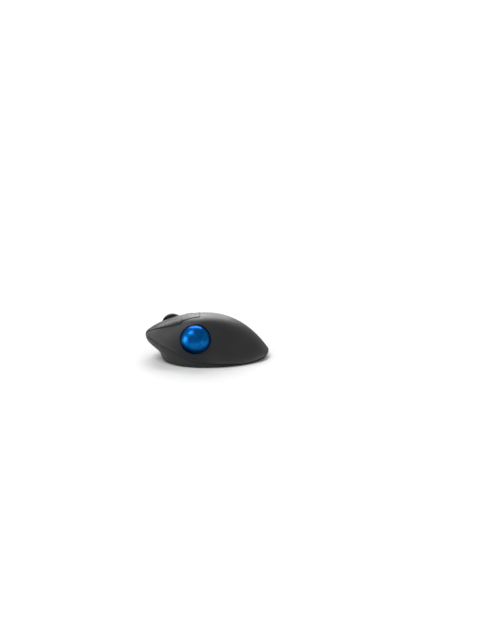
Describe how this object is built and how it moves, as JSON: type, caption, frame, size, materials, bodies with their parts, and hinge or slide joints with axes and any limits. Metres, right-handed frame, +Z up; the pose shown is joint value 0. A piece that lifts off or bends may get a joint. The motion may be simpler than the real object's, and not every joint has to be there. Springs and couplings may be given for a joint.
{
  "type": "trackball mouse",
  "caption": "Wireless right-handed trackball mouse: sculpted dark shell, thumb-operated blue ball, two keys, scroll wheel and small side buttons.",
  "frame": {"origin": "on the desk, under the middle of the body", "axes": "+Y towards the nose, away from the user; +X to the user's right, away from the ball; +Z up"},
  "size_m": [0.0992, 0.134, 0.0475],
  "materials": {
    "shell_plastic": "fine matte texture",
    "base_plastic": "fine matte texture",
    "key_plastic": "satin",
    "button_plastic": "satin",
    "trim_plastic": "semi-gloss",
    "ball_blue": "pearl gloss",
    "wheel_rubber": "matt ribbed",
    "hub_plastic": "satin",
    "frame_plastic": "moulded",
    "bearing_ceramic": "polished",
    "pin_steel": "ground",
    "screw_steel": "zinc plated",
    "board_green": "solder mask",
    "chip_black": "moulded",
    "switch_black": "moulded",
    "plunger_white": "moulded",
    "window_clear": "polished",
    "flex_amber": "film",
    "cell_wrap": "shrink film",
    "contact_nickel": "nickel plated",
    "receiver_plastic": "satin",
    "foot_ptfe": "smooth"
  },
  "bodies": {
    "case": {"upper_shell": "shell_plastic", "lower_shell": "base_plastic", "spine_trim": "trim_plastic", "key_hinge_pins": "pin_steel", "carriage_pin": "pin_steel", "mid_frame": "frame_plastic", "button_board": "board_green", "left_micro_switch": "switch_black", "right_micro_switch": "switch_black", "side_switches": "switch_black", "dpi_switch": "switch_black", "middle_switch": "switch_black", "side_button_guide": "frame_plastic", "ball_cup": "frame_plastic", "support_bearings": "bearing_ceramic", "sensor_window": "window_clear", "sensor_chip": "chip_black", "sensor_board": "board_green", "main_board": "board_green", "board_chips": "chip_black", "power_switch": "switch_black", "pairing_switch": "switch_black", "status_led": "window_clear", "light_pipe": "window_clear", "ribbon_cable": "flex_amber", "battery_cell": "cell_wrap", "battery_contacts": "contact_nickel", "usb_receiver": "receiver_plastic", "receiver_plug": "contact_nickel", "feet": "foot_ptfe", "case_screws": "screw_steel", "frame_screws": "screw_steel", "cup_screws": "screw_steel", "board_screws": "screw_steel"},
    "left_key": {"left_key": "key_plastic"},
    "right_key": {"right_key": "key_plastic"},
    "left_plunger": {"left_plunger": "plunger_white"},
    "right_plunger": {"right_plunger": "plunger_white"},
    "forward_button": {"forward_button": "button_plastic"},
    "back_button": {"back_button": "button_plastic"},
    "dpi_button": {"dpi_button": "button_plastic"},
    "wheel_carriage": {"wheel_carriage": "frame_plastic", "wheel_axle": "pin_steel", "wheel_encoder": "chip_black"},
    "scroll_wheel": {"wheel_hub": "hub_plastic", "wheel_tyre": "wheel_rubber"},
    "ball": {"ball": "ball_blue"},
    "battery_door": {"battery_door": "base_plastic"},
    "power_knob": {"power_knob": "button_plastic"},
    "pairing_button": {"pairing_button": "button_plastic"}
  },
  "joints": [
    {"name": "left_key_press", "type": "hinge", "parent": "case", "child": "left_key", "pos_m": [-0.0045, 0.005, 0.041], "axis": [-1, 0, 0], "range_deg": [0, 0.4], "stiffness_Nm_per_rad": 2.5, "springref_deg": -0.34},
    {"name": "right_key_press", "type": "hinge", "parent": "case", "child": "right_key", "pos_m": [0.022, 0.005, 0.0365], "axis": [-1, 0, 0], "range_deg": [0, 0.4], "stiffness_Nm_per_rad": 2.5, "springref_deg": -0.34},
    {"name": "left_plunger_press", "type": "slide", "parent": "case", "child": "left_plunger", "axis": [0, 0, -1], "range_m": [0, 0.00029]},
    {"name": "right_plunger_press", "type": "slide", "parent": "case", "child": "right_plunger", "axis": [0, 0, -1], "range_m": [0, 0.00025]},
    {"name": "forward_button_press", "type": "slide", "parent": "case", "child": "forward_button", "axis": [0, 0, -1], "range_m": [0, 0.0004], "stiffness_N_per_m": 1500, "springref_m": -0.0001},
    {"name": "back_button_press", "type": "slide", "parent": "case", "child": "back_button", "axis": [0, 0, -1], "range_m": [0, 0.0004], "stiffness_N_per_m": 1500, "springref_m": -0.0001},
    {"name": "dpi_button_press", "type": "slide", "parent": "case", "child": "dpi_button", "axis": [0, 0, -1], "range_m": [0, 0.0004], "stiffness_N_per_m": 1500, "springref_m": -0.0001},
    {"name": "middle_click", "type": "hinge", "parent": "case", "child": "wheel_carriage", "pos_m": [0.013, 0.024, 0.029], "axis": [-1, 0, 0], "range_deg": [0, 1], "stiffness_Nm_per_rad": 1.5, "springref_deg": -0.57},
    {"name": "wheel_spin", "type": "hinge", "parent": "wheel_carriage", "child": "scroll_wheel", "pos_m": [0.013, 0.038, 0.032], "axis": [1, 0, 0], "continuous": true},
    {"name": "ball_spin", "type": "hinge", "parent": "case", "child": "ball", "pos_m": [-0.026, 0.0122, 0.0238], "axis": [0.5, 0, 0.866], "continuous": true},
    {"name": "battery_door_slide", "type": "slide", "parent": "case", "child": "battery_door", "axis": [0, -1, 0], "range_m": [0, 0.012]},
    {"name": "power_slide", "type": "slide", "parent": "case", "child": "power_knob", "axis": [1, 0, 0], "range_m": [-0.002, 0.002]},
    {"name": "pairing_button_press", "type": "slide", "parent": "case", "child": "pairing_button", "axis": [0, 0, 1], "range_m": [0, 0.0004], "stiffness_N_per_m": 800, "springref_m": -0.0001}
  ],
  "couplings": [
    {"joint": "left_plunger_press", "follows": "left_key_press", "m_per_rad": 0.0397},
    {"joint": "right_plunger_press", "follows": "right_key_press", "m_per_rad": 0.0337}
  ]
}
